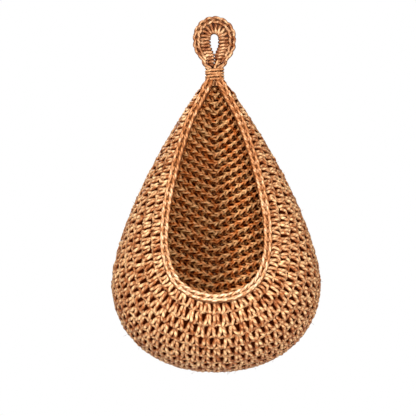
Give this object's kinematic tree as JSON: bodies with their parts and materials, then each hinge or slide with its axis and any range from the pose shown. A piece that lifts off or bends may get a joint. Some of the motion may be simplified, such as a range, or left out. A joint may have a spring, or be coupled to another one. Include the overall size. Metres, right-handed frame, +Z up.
{
  "type": "hanging fruit basket",
  "caption": "Teardrop hanging basket of crocheted jute twine with a slanted mouth, a twine-bound neck and a crocheted hanging loop.",
  "frame": {"origin": "the point where a hook bears, at the top of the hanging loop's eye", "axes": "+Z up along the hang line, -Y out of the front above the mouth's lower edge, +X to the right of someone facing the mouth"},
  "size_m": [0.198, 0.18, 0.3364],
  "materials": {
    "pouch_jute": "rough twisted jute twine, crocheted",
    "edging_jute": "rough twisted jute twine, chain stitch, lighter",
    "gather_jute": "rough twisted jute strands, gathered",
    "binding_twine": "tightly wound jute twine",
    "core_cord": "plain jute cord",
    "loop_jute": "rough twisted jute twine, wrapped stitches"
  },
  "bodies": {
    "root": {"pouch": "pouch_jute", "mouth_edging": "edging_jute", "neck_gather": "gather_jute", "neck_binding": "binding_twine", "loop_core": "core_cord", "loop_stitches": "loop_jute", "loop_edge_chain": "edging_jute"}
  },
  "joints": []
}
